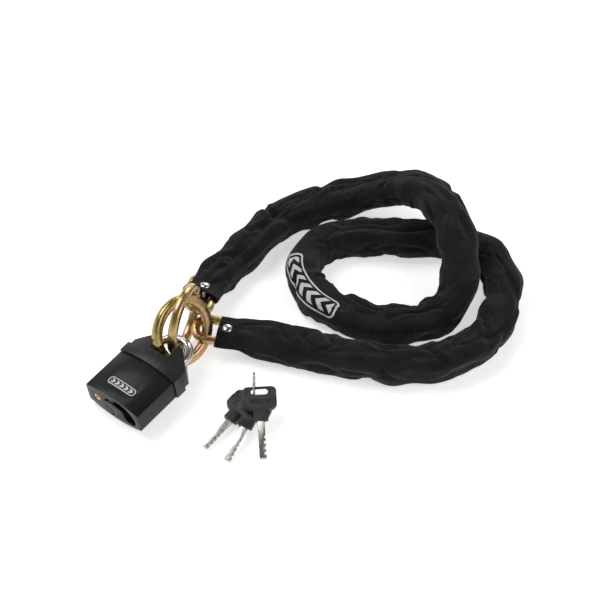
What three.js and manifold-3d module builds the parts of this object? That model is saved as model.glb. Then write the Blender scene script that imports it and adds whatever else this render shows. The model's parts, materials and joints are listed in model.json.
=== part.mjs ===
// A chain lock: a key padlock whose shackle holds the two end rings of a sleeved chain,
// lying on a flat surface with its three keys. Millimetres, +Z up.
import * as THREE from 'three';
import { mergeVertices } from 'three/addons/utils/BufferGeometryUtils.js';
import Module from 'manifold-3d';

const wasm = await Module();
wasm.setup();

// ---------------------------------------------------------------- driving dimensions

// Moves the origin to the middle of the whole object's footprint.
const FRAME_SHIFT = new THREE.Vector3(-8.17, 21.57, 0);

// Padlock. Its own axes: u across its width, v from the keyhole end to the shackle, w through it.
const PADLOCK_ORIGIN = new THREE.Vector3(-138.4, -120.4, 14.5);
const PADLOCK_YAW = -39.28;
const PADLOCK_PITCH = 4.43;
const PADLOCK_ROLL = -3.5;
const BODY_HALF_WIDTH = 26.7;
const BODY_SIDE_HALF = 8.4;
const BODY_CROWN = 5.0;
const COVER_WALL = 1.8;
const COVER_END_WALL = 4.0;
const COVER_LENGTH = 38.6;
const HEAD_START = 38.9;
const SKIRT_END = 48.0;
const SKIRT_PROUD = 1.2;
const HEAD_INSET = 0.5;
const HORN_SHOULDER = 53.4;
const HORN_TOP = 66.0;
const HORN_TIP = 12.3;
const RING_SLOT_HALF = 8.9;
const RING_SLOT_FLOOR = 52.4;
const CORE_INSET = 2.1;
const CORE_START = 4.6;
const CORE_END = 50.0;

const SHACKLE_WIRE = 7.5;
const SHACKLE_HALF = 14;
const SHACKLE_CROWN = 63.2;
const HEEL_END = 14;
const TOE_END = 33;
const LEG_BORE = 4.05;

const KEYWAY_U = 15.5;
const KEYWAY_W = -2.0;
const KEY_RADIUS = 2.7;

// End rings of the chain: [name, centre, normal's azimuth, normal's elevation].
const RING_OUTER = 28.5;
const RING_RADIAL = 8.0;
const RING_AXIAL = 7.1;
const RINGS = [
  ['ring_front', new THREE.Vector3(-89.58, -56.44, 27.6), -42, 24.2],
  ['ring_rear', new THREE.Vector3(-88.43, -49.37, 32.8), -18.88, -2.37],
];

// Chain of 7 mm wire. Its first and last links hang on the rings.
const LINK_COUNT = 30;
const LINK_WIRE = 7;
const LINK_HALF_WIDTH = 13;
const LINK_GAP = 1.4;
const LINK_CLEARANCE = 0.3;
const CHAIN_DROP = 1.45;
const LINK_ROLL = 45;
const END_LINK_ROLL_A = 15;
const END_LINK_ROLL_B = -5;
const HOOK_ANGLE_REAR = -15;
const HOOK_ANGLE_FRONT = -32;
const HOOK_GAP_REAR = 0.6;
const HOOK_GAP_FRONT = 1.5;

// Fabric sleeve: its centreline from the rear ring round two loops to the front ring.
const SLEEVE_HALF_WIDTH = 15.4;
const SLEEVE_HALF_HEIGHT = 12.9;
const SLEEVE_WALL = 0.85;
const SLEEVE_CHAMFER = 3.2;
const SLEEVE_SETBACK_A = 16;
const SLEEVE_SETBACK_B = 13.5;
const SLEEVE_STEPS = 64;
const RIVET_INSET = 6.5;
const SLEEVE_ROUTE = [
  [-78, -5, 22], [-64.6, 12, 15], [-46, 39, 12.9], [-26.8, 67.5, 12.9],
  [-4.6, 86, 12.9], [20.9, 97.8, 12.9], [43, 104, 14.5], [64, 105, 21],
  [84, 99, 33], [101.5, 84.5, 43.5], [114.5, 63, 46], [123, 40, 46],
  [126.2, 17, 41.5], [126.8, -2, 32.5], [122.5, -19, 22], [110.5, -32, 15.5],
  [92, -38, 12.9], [65, -37.5, 12.9], [41, -31.6, 12.9], [20.5, -19.1, 12.9],
  [7, -3, 12.9], [0, 15, 12.9], [1.5, 34, 12.9], [13.5, 49.5, 12.9],
  [35.5, 57.5, 12.9], [69.7, 58, 12.9], [98.3, 55, 12.9], [122.8, 54.5, 12.9],
  [146, 46.5, 12.9], [159, 28.5, 12.9], [162.4, 4, 12.9], [158.3, -23.2, 12.9],
  [147.4, -46.5, 12.9], [129.5, -65.2, 12.9], [106.2, -76, 12.9], [80, -78, 12.9],
  [53.4, -74.2, 12.9], [26.8, -68.2, 12.9], [0, -60.7, 12.9], [-27.3, -52.6, 12.9],
  [-48.5, -48, 16],
].map(([x, y, z]) => new THREE.Vector3(x, y, z));

// Keys: [slot centre, yaw of the blade, slope of the blade], lowest first.
const KEYS = [
  [new THREE.Vector3(-38.1, -106.3, 5.6), -126.7, 2.0],
  [new THREE.Vector3(-31.4, -113.0, 11.7), -114.4, 8.6],
  [new THREE.Vector3(-30.3, -109.3, 19.1), -86.1, 14.6],
];
const BOW_WIDTH = 25.2;
const BOW_BODY_END = 15.5;
const BOW_TAB_START = 3.3;
const BOW_FAR_END = -3.9;
const BOW_THICK = 4.0;
const TAB_THICK = 2.2;
const COLLAR_LENGTH = 7.8;
const COLLAR_WIDTH = 11;
const BLADE_LENGTH = 29.4;
const KEY_RING_CENTRE = new THREE.Vector3(-34.5, -100.5, 12.9);
const KEY_RING_RADIUS = 11.2;
const KEY_RING_WIRE = 1.5;

// ---------------------------------------------------------------- materials

function material(color, roughness, metalness) {
  return new THREE.MeshStandardMaterial({ color, roughness, metalness, flatShading: true });
}

const BLACK_SATIN = material(0x1b1c1e, 0.45, 0.5);
const GREY_STEEL = material(0x6f7276, 0.45, 0.9);
const CHROME = material(0xd9dadc, 0.15, 1.0);
const ZINC = material(0xb9a36a, 0.35, 0.9);
const BRASS = material(0xb08d4a, 0.35, 0.9);
const FABRIC = material(0x141416, 0.95, 0.0);
const PLASTIC = material(0x151517, 0.5, 0.0);
const BADGE = material(0xb9bbbe, 0.35, 0.8);

const UP = new THREE.Vector3(0, 0, 1);

// ---------------------------------------------------------------- solids

function weld(geometry) {
  const bare = geometry.clone();
  bare.deleteAttribute('normal');
  bare.deleteAttribute('uv');
  return mergeVertices(bare, 1e-4);
}

function solid(geometry) {
  const welded = weld(geometry);
  const mesh = new wasm.Mesh({
    numProp: 3,
    vertProperties: new Float32Array(welded.attributes.position.array),
    triVerts: new Uint32Array(welded.index.array),
  });
  return new wasm.Manifold(mesh);
}

function unsolid(body) {
  const mesh = body.getMesh();
  const geometry = new THREE.BufferGeometry();
  geometry.setAttribute('position', new THREE.BufferAttribute(mesh.vertProperties, 3));
  geometry.setIndex(new THREE.BufferAttribute(mesh.triVerts, 1));
  return geometry;
}

function cut(geometry, ...cutters) {
  return unsolid(cutters.reduce((body, cutter) => body.subtract(solid(cutter)), solid(geometry)));
}

function join(geometry, ...others) {
  return unsolid(others.reduce((body, other) => body.add(solid(other)), solid(geometry)));
}

function common(geometry, other) {
  return unsolid(solid(geometry).intersect(solid(other)));
}

// A box between two corners.
function block(x0, x1, y0, y1, z0, z1) {
  const box = new THREE.BoxGeometry(x1 - x0, y1 - y0, z1 - z0);
  return box.translate((x0 + x1) / 2, (y0 + y1) / 2, (z0 + z1) / 2);
}

// A round bar along v at (u, w).
function rod(u, w, radius, v0, v1, sides = 24) {
  const bar = new THREE.CylinderGeometry(radius, radius, v1 - v0, sides);
  return bar.translate(u, (v0 + v1) / 2, w);
}

// A round bar along w at (u, v).
function crossRod(u, v, radius, w0, w1, sides = 16) {
  const bar = new THREE.CylinderGeometry(radius, radius, w1 - w0, sides).rotateX(Math.PI / 2);
  return bar.translate(u, v, (w0 + w1) / 2);
}

// A (u, w) outline extruded along v.
function prism(shape, v0, v1, curveSegments = 12) {
  const settings = { depth: v1 - v0, bevelEnabled: false, curveSegments };
  return new THREE.ExtrudeGeometry(shape, settings).rotateX(Math.PI / 2).translate(0, v1, 0);
}

// A flat outline extruded upwards.
function plate(shape, z0, z1, curveSegments = 6) {
  const settings = { depth: z1 - z0, bevelEnabled: false, curveSegments };
  return new THREE.ExtrudeGeometry(shape, settings).translate(0, 0, z0);
}

// An outline extruded about its own mid plane with chamfered edges, exact at its widest.
function chamfered(shape, thickness, chamfer, curveSegments) {
  const geometry = new THREE.ExtrudeGeometry(shape, {
    depth: thickness - 2 * chamfer,
    bevelThickness: chamfer,
    bevelSize: chamfer,
    bevelOffset: -chamfer,
    bevelSegments: 1,
    curveSegments,
  });
  return weld(geometry.translate(0, 0, chamfer - thickness / 2));
}

function circle(x, y, radius) {
  return new THREE.Shape().absarc(x, y, radius, 0, 2 * Math.PI);
}

function pill(halfLength, halfWidth, x = 0, y = 0) {
  const shape = new THREE.Shape();
  shape.absarc(x + halfLength - halfWidth, y, halfWidth, -Math.PI / 2, Math.PI / 2);
  shape.absarc(x - halfLength + halfWidth, y, halfWidth, Math.PI / 2, 1.5 * Math.PI);
  return shape;
}

// The padlock's section: two flat sides and two shallow arcs, drawn in by an inset.
function lens(inset) {
  const arcRadius = (BODY_HALF_WIDTH ** 2 + BODY_CROWN ** 2) / (2 * BODY_CROWN);
  const arcCentre = BODY_SIDE_HALF + BODY_CROWN - arcRadius;
  const half = BODY_HALF_WIDTH - inset;
  const radius = arcRadius - inset;
  const angle = Math.asin(half / radius);
  const shape = new THREE.Shape();
  shape.absarc(0, arcCentre, radius, Math.PI / 2 - angle, Math.PI / 2 + angle);
  shape.absarc(0, -arcCentre, radius, 1.5 * Math.PI - angle, 1.5 * Math.PI + angle);
  return shape;
}

function direction(azimuth, elevation) {
  const yaw = THREE.MathUtils.degToRad(azimuth);
  const pitch = THREE.MathUtils.degToRad(elevation);
  return new THREE.Vector3(Math.cos(yaw), Math.sin(yaw), 0)
    .multiplyScalar(Math.cos(pitch))
    .setZ(Math.sin(pitch));
}

function piece(name, geometry, look) {
  const mesh = new THREE.Mesh(geometry, look);
  mesh.name = name;
  return mesh;
}

// ---------------------------------------------------------------- padlock housing

// The curved recess in which the keyhole's dust slider runs.
function sliderRecess() {
  const shape = new THREE.Shape();
  shape.moveTo(-9.4, 1.6);
  shape.bezierCurveTo(-7.5, 7.6, -1, 9.9, 7.4, 10.2);
  shape.bezierCurveTo(14, 9.8, 18, 6.5, 20.6, 2.2);
  shape.lineTo(11.2, -1.5);
  shape.bezierCurveTo(8.5, 1.6, 4, 3.2, -4.6, 3.4);
  return shape;
}

function bodyCover() {
  const shell = prism(lens(0), 0, COVER_LENGTH);
  const hollow = prism(lens(COVER_WALL), COVER_END_WALL, COVER_LENGTH + 1);
  const keyhole = rod(16, -2.5, 6.2, -1, COVER_END_WALL + 1, 28);
  const recess = prism(sliderRecess(), -1, 3.2, 5);
  const bushHole = rod(-17.2, -0.4, 3.3, -1, COVER_END_WALL + 1, 20);
  const groove = circle(-4.9, -7.4, 4.3);
  groove.holes.push(circle(-4.9, -7.4, 3.6));
  const badgeBand = cut(prism(lens(-1), 6, 20), prism(lens(0.6), 5, 21));
  const badgePocket = common(badgeBand, plate(pill(14.3, 4.3, 0, 12.5), 5, 20));
  return cut(shell, hollow, keyhole, recess, bushHole, prism(groove, -1, 0.5, 10), badgePocket);
}

function faceBadge() {
  const band = cut(prism(lens(-0.2), 7, 18), prism(lens(0.3), 6, 19));
  return common(band, plate(pill(14, 4, 0, 12.5), 5, 20));
}

function lockBody() {
  const core = prism(lens(CORE_INSET), CORE_START, CORE_END);
  return cut(
    core,
    rod(-SHACKLE_HALF, 0, LEG_BORE, 6.5, CORE_END + 1),
    rod(SHACKLE_HALF, 0, LEG_BORE, 32.4, CORE_END + 1),
    rod(KEYWAY_U, KEYWAY_W, 6.8, CORE_START - 1, 28.3, 28),
    block(3.6, 22.4, 28.2, 31.4, -7.1, 2.1),
    block(3.6, 12.5, 28.2, 40.4, -2.1, 2.1),
    crossRod(-10.4, 32, 1.45, -8, 8),
  );
}

// The shroud over the shackle: a proud skirt below and two sloping horns beside the ring slot.
function headShroud() {
  const skirt = prism(lens(-SKIRT_PROUD), HEAD_START, SKIRT_END);
  const half = BODY_HALF_WIDTH - HEAD_INSET;
  const outline = new THREE.Shape();
  outline.moveTo(-half - 1, 47);
  outline.lineTo(half + 1, 47);
  outline.lineTo(half + 1, HORN_SHOULDER - 1);
  outline.lineTo(HORN_TIP, HORN_TOP);
  outline.lineTo(-HORN_TIP, HORN_TOP);
  outline.lineTo(-half - 1, HORN_SHOULDER - 1);
  const horns = common(prism(lens(HEAD_INSET), 47, HORN_TOP + 1), plate(outline, -20, 20));
  return cut(
    join(skirt, horns),
    prism(lens(COVER_WALL), HEAD_START - 1, 50.3),
    block(-19.3, 19.3, 50, HORN_TOP + 2, -4.8, 4.8),
    block(-RING_SLOT_HALF, RING_SLOT_HALF, RING_SLOT_FLOOR, HORN_TOP + 2, -20, 20),
  );
}

function keyholeSlider() {
  return plate(pill(3.2, 1.6), 0, 2.3, 6).rotateX(Math.PI / 2).translate(-2.5, 2.9, 5.7);
}

function brassBush() {
  return cut(rod(-17.2, -0.4, 3.0, 0.2, 4.3, 20), rod(-17.2, -0.4, 1.6, -1, 3.2, 16));
}

// ---------------------------------------------------------------- shackle and its retainers

class ShacklePath extends THREE.Curve {
  getPoint(t, target = new THREE.Vector3()) {
    const heel = SHACKLE_CROWN - HEEL_END;
    const arc = Math.PI * SHACKLE_HALF;
    const along = t * (heel + arc + SHACKLE_CROWN - TOE_END);
    if (along < heel) return target.set(-SHACKLE_HALF, HEEL_END + along, 0);
    if (along > heel + arc) return target.set(SHACKLE_HALF, SHACKLE_CROWN - (along - heel - arc), 0);
    const angle = Math.PI - (along - heel) / SHACKLE_HALF;
    const u = SHACKLE_HALF * Math.cos(angle);
    return target.set(u, SHACKLE_CROWN + SHACKLE_HALF * Math.sin(angle), 0);
  }
}

function shackle() {
  const settings = { steps: 36, extrudePath: new ShacklePath(), curveSegments: 6 };
  const bow = new THREE.ExtrudeGeometry(circle(0, 0, SHACKLE_WIRE / 2), settings);
  return cut(
    bow,
    block(-11.85, -8, 17, 33.6, -6, 6),
    block(8, 13.8, 35, 40, -6, 6),
  );
}

function shackleSpring() {
  const turns = 5;
  const radius = 2.7;
  class Helix extends THREE.Curve {
    getPoint(t, target = new THREE.Vector3()) {
      const angle = 2 * Math.PI * turns * t;
      const u = -SHACKLE_HALF + radius * Math.cos(angle);
      return target.set(u, 7.5 + 5.6 * t, radius * Math.sin(angle));
    }
  }
  const settings = { steps: turns * 10, extrudePath: new Helix(), curveSegments: 3 };
  return new THREE.ExtrudeGeometry(circle(0, 0, 0.45), settings);
}

// ---------------------------------------------------------------- lock cylinder

function cylinderHousing() {
  const tube = cut(
    rod(KEYWAY_U, KEYWAY_W, 6.5, 4.9, 27, 28),
    rod(KEYWAY_U, KEYWAY_W, 5.25, 4, 28, 28),
  );
  const grooveTop = KEYWAY_W + 5.9;
  return cut(tube, block(KEYWAY_U - 1.1, KEYWAY_U + 1.1, 8.5, 23.5, KEYWAY_W, grooveTop));
}

// A half-round opening for the key.
function keyway(v0, v1) {
  const flat = block(KEYWAY_U - 5, KEYWAY_U + 5, v0 - 1, v1 + 1, KEYWAY_W - 5, KEYWAY_W + 1.1);
  return common(rod(KEYWAY_U, KEYWAY_W, KEY_RADIUS + 0.25, v0, v1, 20), flat);
}

function keyPlug() {
  return cut(
    rod(KEYWAY_U, KEYWAY_W, 5.0, 5.2, 26, 28),
    rod(KEYWAY_U, KEYWAY_W, 4.2, 7.2, 27, 24),
    keyway(4, 8),
    block(KEYWAY_U - 1.1, KEYWAY_U + 1.1, 8.5, 23.5, KEYWAY_W + 3, KEYWAY_W + 6),
  );
}

function lockDisc(index) {
  const start = 9 + 3.3 * index;
  const notch = block(KEYWAY_U - 1, KEYWAY_U + 1, start - 1, start + 4, KEYWAY_W + 3.5, KEYWAY_W + 6);
  return cut(rod(KEYWAY_U, KEYWAY_W, 4.0, start, start + 2.6), keyway(start - 1, start + 4), notch);
}

function sidebar() {
  return block(KEYWAY_U - 0.75, KEYWAY_U + 0.75, 9.2, 22.6, KEYWAY_W + 4.25, KEYWAY_W + 4.95);
}

// A disc whose eccentric pin drives the bolt: a quarter turn carries the pin from u -1.77 to +1.77.
const CAM_THROW = 2.5;

function lockingCam() {
  const offset = CAM_THROW * Math.SQRT1_2;
  const disc = rod(KEYWAY_U, KEYWAY_W, 4.9, 26.4, 28);
  return join(disc, rod(KEYWAY_U - offset, KEYWAY_W - offset, 1.0, 27.5, 31, 12));
}

function lockingBolt() {
  const slotCentre = KEYWAY_U - CAM_THROW * Math.SQRT1_2;
  const slider = block(4.0, 18.5, 28.6, 31, -6.7, 1.7);
  const riser = block(4.0, 6.3, 30, 40, -1.7, 1.7);
  const finger = block(6, 9.8, 35.5, 39.5, -1.6, 1.6);
  const slot = block(slotCentre - 1.45, slotCentre + 1.45, 28, 32, -6.0, -2.2);
  return cut(join(slider, riser, finger), slot);
}

function padlock() {
  const group = new THREE.Group();
  group.add(
    piece('lock_body', lockBody(), GREY_STEEL),
    piece('body_cover', bodyCover(), BLACK_SATIN),
    piece('head_shroud', headShroud(), GREY_STEEL),
    piece('keyhole_slider', keyholeSlider(), PLASTIC),
    piece('brass_bush', brassBush(), BRASS),
    piece('face_badge', faceBadge(), BADGE),
    piece('shackle', shackle(), CHROME),
    piece('shackle_spring', shackleSpring(), CHROME),
    piece('retaining_pin', crossRod(-10.4, 32, 1.15, -7, 7), CHROME),
    piece('cylinder_housing', cylinderHousing(), BRASS),
    piece('key_plug', keyPlug(), BRASS),
    piece('sidebar', sidebar(), CHROME),
    piece('locking_cam', lockingCam(), CHROME),
    piece('locking_bolt', lockingBolt(), CHROME),
  );
  for (let index = 0; index < 3; index += 1) {
    group.add(piece(`lock_disc_${index + 1}`, lockDisc(index), BRASS));
  }
  const degrees = THREE.MathUtils.degToRad;
  group.position.copy(PADLOCK_ORIGIN);
  group.rotation.set(degrees(PADLOCK_PITCH), degrees(PADLOCK_ROLL), degrees(PADLOCK_YAW), 'ZXY');
  return group;
}

// ---------------------------------------------------------------- end rings

function ringGeometry(grow) {
  const shape = circle(0, 0, RING_OUTER + grow);
  shape.holes.push(circle(0, 0, RING_OUTER - RING_RADIAL - grow));
  return chamfered(shape, RING_AXIAL + 2 * grow, 2.1, 18);
}

function ringMatrix(centre, azimuth, elevation) {
  const turn = new THREE.Quaternion().setFromUnitVectors(UP, direction(azimuth, elevation));
  return new THREE.Matrix4().compose(centre, turn, new THREE.Vector3(1, 1, 1));
}

function endRing(name, ...pose) {
  const mesh = piece(name, ringGeometry(0), ZINC);
  ringMatrix(...pose).decompose(mesh.position, mesh.quaternion, mesh.scale);
  return mesh;
}

// ---------------------------------------------------------------- chain and sleeve

// Where a chain end meets a ring: inside the ring, beyond the limb that its last link hangs on.
function hookPoint([, centre, azimuth, elevation], hookAngle, hookGap, nextPoint) {
  const normal = direction(azimuth, elevation);
  const level = UP.clone().cross(normal).normalize();
  const angle = THREE.MathUtils.degToRad(hookAngle);
  const limb = level.clone().multiplyScalar(Math.cos(angle));
  limb.addScaledVector(normal.clone().cross(level), Math.sin(angle));
  limb.multiplyScalar(RING_OUTER - RING_RADIAL / 2).add(centre);
  const inward = limb.clone().sub(nextPoint).normalize();
  return limb.addScaledVector(inward, RING_RADIAL / 2 + hookGap - LINK_GAP / 2);
}

function chainCurve() {
  const lowered = SLEEVE_ROUTE.map((point) => point.clone().setZ(point.z - CHAIN_DROP));
  const start = hookPoint(RINGS[1], HOOK_ANGLE_REAR, HOOK_GAP_REAR, lowered[0]);
  const end = hookPoint(RINGS[0], HOOK_ANGLE_FRONT, HOOK_GAP_FRONT, lowered[lowered.length - 1]);
  const curve = new THREE.CatmullRomCurve3([start, ...lowered, end]);
  curve.arcLengthDivisions = 2000;
  return curve;
}

// Steps along the samples in chords of one pitch; returns null if the samples run out.
function walk(samples, pitch, count) {
  const points = [samples[0].clone()];
  let next = 1;
  while (points.length <= count) {
    const last = points[points.length - 1];
    while (next < samples.length && samples[next].distanceTo(last) < pitch) next += 1;
    if (next === samples.length) return null;
    const before = samples[next - 1].distanceTo(last);
    const after = samples[next].distanceTo(last);
    const share = (pitch - before) / (after - before);
    points.push(samples[next - 1].clone().lerp(samples[next], share));
  }
  return points;
}

// The longest pitch at which the whole chain still fits the curve.
function chainJoints(curve) {
  const samples = curve.getSpacedPoints(4000);
  let low = 30;
  let high = 45;
  for (let round = 0; round < 40; round += 1) {
    const middle = (low + high) / 2;
    if (walk(samples, middle, LINK_COUNT)) low = middle;
    else high = middle;
  }
  return walk(samples, low, LINK_COUNT);
}

function linkGeometry(pitch, grow) {
  const wire = LINK_WIRE + 2 * grow;
  const halfLength = (pitch + LINK_GAP) / 2 + LINK_WIRE + grow;
  const halfWidth = LINK_HALF_WIDTH + grow;
  const shape = pill(halfLength, halfWidth);
  shape.holes.push(pill(halfLength - wire, halfWidth - wire));
  return chamfered(shape, wire, wire * (1 - Math.SQRT1_2), 3);
}

function linkName(index) {
  if (index === 0) return 'end_link_a';
  if (index === LINK_COUNT - 1) return 'end_link_b';
  return `chain_link_${String(index).padStart(2, '0')}`;
}

function linkRoll(index) {
  if (index === 0) return END_LINK_ROLL_A;
  if (index === LINK_COUNT - 1) return END_LINK_ROLL_B;
  return index % 2 ? -LINK_ROLL : LINK_ROLL;
}

function linkMatrix(joints, index) {
  const along = joints[index + 1].clone().sub(joints[index]).normalize();
  const side = UP.clone().cross(along).normalize();
  const normal = along.clone().cross(side);
  normal.applyAxisAngle(along, THREE.MathUtils.degToRad(linkRoll(index)));
  const matrix = new THREE.Matrix4().makeBasis(along, normal.clone().cross(along), normal);
  return matrix.setPosition(joints[index].clone().lerp(joints[index + 1], 0.5));
}

// Each link is relieved where the one before it, a ring or the sleeve would bear on it in a bend.
function chain(joints, path) {
  const group = new THREE.Group();
  const pitch = joints[0].distanceTo(joints[1]);
  const rings = RINGS.map(([, ...pose]) => ringGeometry(LINK_CLEARANCE).applyMatrix4(ringMatrix(...pose)));
  const slack = LINK_CLEARANCE;
  const lumen = sleeveTube(path, SLEEVE_WALL + slack);
  const wall = sleeveTube(path, -slack, SLEEVE_WALL + slack);
  for (let index = 0; index < LINK_COUNT; index += 1) {
    const matrix = linkMatrix(joints, index);
    const cutters = [wall];
    if (index > 0) cutters.push(linkGeometry(pitch, LINK_CLEARANCE).applyMatrix4(linkMatrix(joints, index - 1)));
    const isEnd = index === 0 || index === LINK_COUNT - 1;
    if (isEnd) cutters.push(...rings);
    const local = matrix.clone().invert();
    const tools = cutters.map((cutter) => cutter.clone().applyMatrix4(local));
    const relieved = cut(linkGeometry(pitch, 0), ...tools);
    const geometry = isEnd ? relieved : common(relieved, lumen.clone().applyMatrix4(local));
    const mesh = piece(linkName(index), geometry, ZINC);
    matrix.decompose(mesh.position, mesh.quaternion, mesh.scale);
    group.add(mesh);
  }
  return group;
}

// The sleeve's centreline runs through the middles of the links. Its frames stay upright.
class SleevePath extends THREE.CatmullRomCurve3 {
  constructor(joints) {
    const between = (a, b, share) => joints[a].clone().lerp(joints[b], share);
    const first = joints[0].distanceTo(joints[1]);
    const middles = joints.slice(1, -2).map((joint, index) => between(index + 1, index + 2, 0.5));
    const start = between(0, 1, SLEEVE_SETBACK_A / first);
    const end = between(LINK_COUNT, LINK_COUNT - 1, SLEEVE_SETBACK_B / first);
    super([start, ...middles, end]);
    this.arcLengthDivisions = 1000;
  }

  getPoint(t, target = new THREE.Vector3()) {
    super.getPoint(t, target);
    return target.setZ(Math.max(target.z, SLEEVE_HALF_HEIGHT));
  }

  frameAt(t) {
    const tangent = this.getTangentAt(t);
    const side = UP.clone().cross(tangent).normalize();
    return { tangent, side, top: tangent.clone().cross(side) };
  }

  computeFrenetFrames(segments) {
    const frames = Array.from({ length: segments + 1 }, (_, index) => this.frameAt(index / segments));
    return {
      tangents: frames.map((frame) => frame.tangent),
      normals: frames.map((frame) => frame.side),
      binormals: frames.map((frame) => frame.top),
    };
  }
}

function sleeveSection(inset) {
  const x = SLEEVE_HALF_WIDTH - inset;
  const y = SLEEVE_HALF_HEIGHT - inset;
  const corner = SLEEVE_CHAMFER - 0.6 * inset;
  const section = new THREE.Shape();
  section.moveTo(x, corner - y);
  section.lineTo(x, y - corner);
  section.lineTo(x - corner, y);
  section.lineTo(corner - x, y);
  section.lineTo(-x, y - corner);
  section.lineTo(-x, corner - y);
  section.lineTo(corner - x, -y);
  section.lineTo(x - corner, -y);
  return section;
}

function sleeveTube(path, outerInset, innerInset = null) {
  const section = sleeveSection(outerInset);
  if (innerInset !== null) section.holes.push(sleeveSection(innerInset));
  return new THREE.ExtrudeGeometry(section, { steps: SLEEVE_STEPS, extrudePath: path });
}

// A rivet through both faces of the sleeve and the end link's opening.
function rivet(path, t, grow) {
  const reach = SLEEVE_HALF_HEIGHT + 0.35;
  const profile = [
    [0, -reach - 1], [3.6, -reach - 1], [4.2, -reach], [2, -reach],
    [2, reach], [4.2, reach], [3.6, reach + 1], [0, reach + 1],
  ];
  const geometry = grow
    ? new THREE.CylinderGeometry(2 + grow, 2 + grow, 2 * reach + 6, 14)
    : new THREE.LatheGeometry(profile.map(([x, y]) => new THREE.Vector2(x, y)), 14);
  const { tangent, side, top } = path.frameAt(t);
  const matrix = new THREE.Matrix4().makeBasis(side, top, tangent);
  matrix.setPosition(path.getPointAt(t));
  return geometry.applyMatrix4(matrix);
}

function sleeve(path) {
  const inset = RIVET_INSET / path.getLength();
  const tube = sleeveTube(path, 0, SLEEVE_WALL);
  const group = new THREE.Group();
  const holed = cut(tube, rivet(path, inset, 0.35), rivet(path, 1 - inset, 0.35));
  group.add(
    piece('fabric_sleeve', holed, FABRIC),
    piece('sleeve_rivet_a', rivet(path, inset, 0), CHROME),
    piece('sleeve_rivet_b', rivet(path, 1 - inset, 0), CHROME),
  );
  return group;
}

// ---------------------------------------------------------------- keys

// A key lies along +X, blade forwards, with its slot at the origin.
function keyBow() {
  const half = BOW_WIDTH / 2;
  const bow = new THREE.Shape();
  bow.moveTo(BOW_BODY_END, -COLLAR_WIDTH / 2);
  bow.lineTo(BOW_BODY_END, COLLAR_WIDTH / 2);
  bow.quadraticCurveTo(BOW_BODY_END - 1, half, 9.5, half);
  bow.lineTo(BOW_TAB_START, half);
  bow.lineTo(BOW_TAB_START, -half);
  bow.lineTo(9.5, -half);
  bow.quadraticCurveTo(BOW_BODY_END - 1, -half, BOW_BODY_END, -COLLAR_WIDTH / 2);
  const tab = new THREE.Shape();
  tab.moveTo(BOW_TAB_START + 1, -half);
  tab.lineTo(BOW_TAB_START + 1, half);
  tab.lineTo(-0.5, half);
  tab.quadraticCurveTo(BOW_FAR_END, half - 0.5, BOW_FAR_END, half - 4.5);
  tab.lineTo(BOW_FAR_END, 4.5 - half);
  tab.quadraticCurveTo(BOW_FAR_END, 0.5 - half, -0.5, -half);
  const slot = pill(6.5, 2.6);
  const collarEnd = BOW_BODY_END + COLLAR_LENGTH;
  const collar = block(BOW_BODY_END - 1, collarEnd, -5.5, 5.5, -1.9, 1.9);
  return cut(
    join(plate(bow, -BOW_THICK / 2, BOW_THICK / 2), plate(tab, -TAB_THICK / 2, TAB_THICK / 2), collar),
    plate(slot, -5, 5).rotateZ(Math.PI / 2),
    block(7.1, 10.7, -7.2, 7.2, BOW_THICK / 2 - 0.6, 5),
    block(7.1, 10.7, -7.2, 7.2, -5, 0.6 - BOW_THICK / 2),
  );
}

// A half-round blade with bitting cuts near its tip.
function keyBlade() {
  const start = BOW_BODY_END + COLLAR_LENGTH + 0.3;
  const bar = new THREE.CylinderGeometry(KEY_RADIUS, KEY_RADIUS, BLADE_LENGTH, 18)
    .rotateZ(Math.PI / 2)
    .translate(start + BLADE_LENGTH / 2, 0, 0);
  const flat = block(start - 1, start + BLADE_LENGTH + 1, -5, 5, 0.9, 5);
  const cuts = [0, 1, 2, 3].map((index) => {
    const position = start + BLADE_LENGTH - 4 - 4.2 * index;
    const depth = index % 2 ? 1.7 : 1.2;
    return block(position - 1.1, position + 1.1, depth, 5, -5, 5);
  });
  return cut(bar, flat, ...cuts);
}

function keys() {
  const group = new THREE.Group();
  KEYS.forEach(([slot, yaw, slope], index) => {
    const key = new THREE.Group();
    key.add(
      piece(`key_bow_${index + 1}`, keyBow(), PLASTIC),
      piece(`key_blade_${index + 1}`, keyBlade(), CHROME),
    );
    key.position.copy(slot);
    key.rotation.set(0, THREE.MathUtils.degToRad(slope), THREE.MathUtils.degToRad(yaw), 'ZYX');
    group.add(key);
  });
  const ring = new THREE.TorusGeometry(KEY_RING_RADIUS, KEY_RING_WIRE / 2, 6, 28);
  const mesh = piece('key_ring', ring.rotateY(Math.PI / 2), CHROME);
  mesh.position.copy(KEY_RING_CENTRE);
  group.add(mesh);
  return group;
}

// ---------------------------------------------------------------- assembly

const joints = chainJoints(chainCurve());
const sleevePath = new SleevePath(joints);
const chainLock = new THREE.Group();
chainLock.add(padlock(), chain(joints, sleevePath), sleeve(sleevePath), keys());
RINGS.forEach((ring) => chainLock.add(endRing(...ring)));
chainLock.position.copy(FRAME_SHIFT);

export default chainLock;
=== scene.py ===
"""Looks for the chain lock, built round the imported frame."""

import json
import math

import bmesh
import bpy
import numpy as np
from mathutils import Matrix, Vector, noise
from mathutils.bvhtree import BVHTree


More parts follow.
